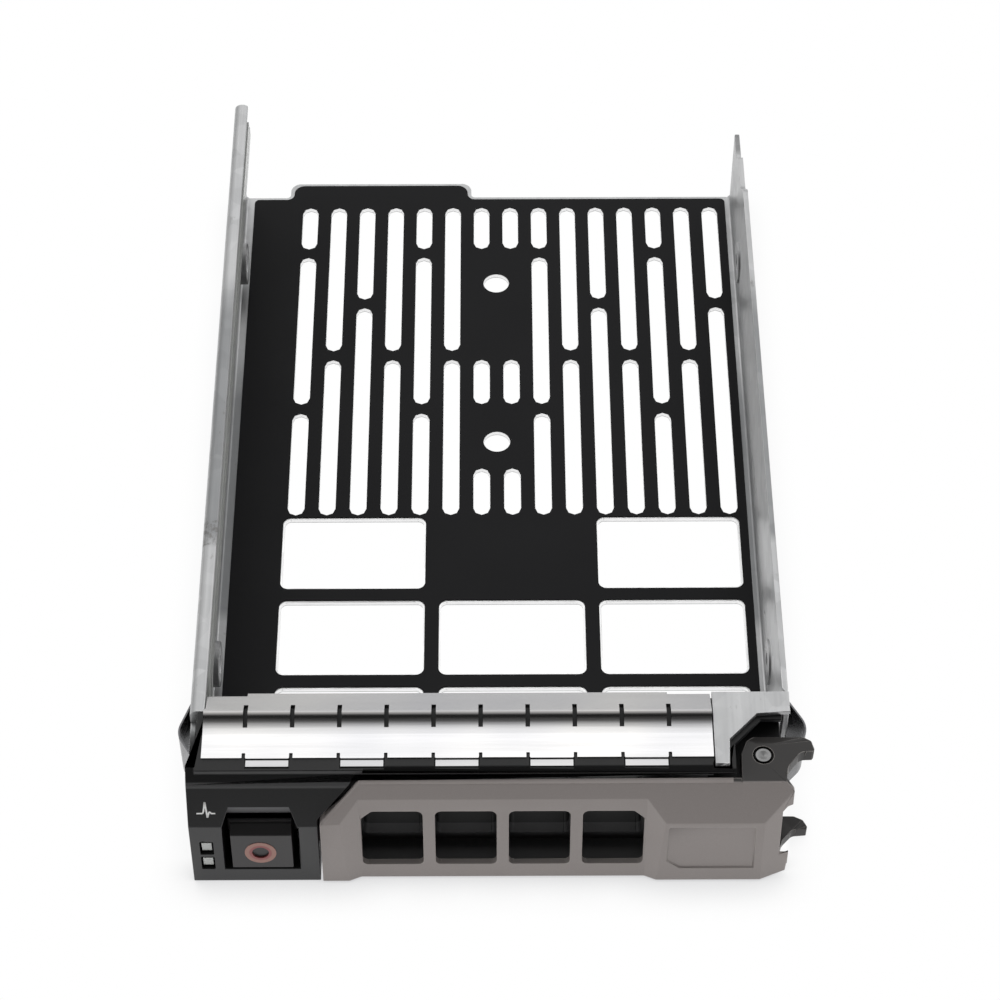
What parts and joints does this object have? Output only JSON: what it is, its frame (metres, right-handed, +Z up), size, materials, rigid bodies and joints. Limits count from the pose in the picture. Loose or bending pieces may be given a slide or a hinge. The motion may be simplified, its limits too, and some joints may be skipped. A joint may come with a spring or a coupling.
{
  "type": "hot swap drive caddy",
  "caption": "Folded sheet steel drive tray with a slotted floor, side walls with screw holes, spring-finger gasket, plastic front with air ways, swing-out latch lever and release button",
  "frame": {"origin": "on the underside of the floor, in the solid land between the two rear windows, midway between the side walls", "axes": "X runs across, from the release button to the hinge pin; Y runs from the front to the rear of the tray; Z is up, out of the open side"},
  "size_m": [0.113, 0.1742, 0.0272],
  "materials": {
    "galvanised_sheet": "satin",
    "black_film": "satin",
    "black_plastic": "matte",
    "lever_grey": "satin",
    "pin_steel": "polished",
    "black_washer": "satin",
    "spring_steel": "satin",
    "dark_spring_steel": "satin",
    "button_grey": "satin",
    "button_red": "gloss",
    "light_guide": "gloss",
    "gasket_steel": "polished"
  },
  "bodies": {
    "carrier": {"tray": "galvanised_sheet", "floor_film": "black_film", "bezel": "black_plastic", "emi_gasket": "gasket_steel", "side_spring_left": "dark_spring_steel", "side_spring_right": "dark_spring_steel", "hinge_pin": "pin_steel", "handle_spring": "spring_steel", "button_spring": "spring_steel", "light_pipe_lower": "light_guide", "light_pipe_upper": "light_guide", "light_pipe_clip_1": "black_plastic", "light_pipe_clip_2": "black_plastic", "light_pipe_clip_3": "black_plastic", "bezel_screw_left": "pin_steel", "bezel_screw_right": "pin_steel"},
    "lever": {"handle": "lever_grey", "hinge_washer": "black_washer"},
    "button": {"release_button": "button_grey", "button_ring": "button_red"}
  },
  "joints": [
    {"name": "lever_swing", "type": "hinge", "parent": "carrier", "child": "lever", "pos_m": [0.048, -0.0622, 0.012], "axis": [0, 0, 1], "range_deg": [0, 50], "deforming": ["handle_spring"]},
    {"name": "button_press", "type": "slide", "parent": "carrier", "child": "button", "axis": [0, 1, 0], "range_m": [0, 0.002], "stiffness_N_per_m": 300, "deforming": ["button_spring"]}
  ]
}
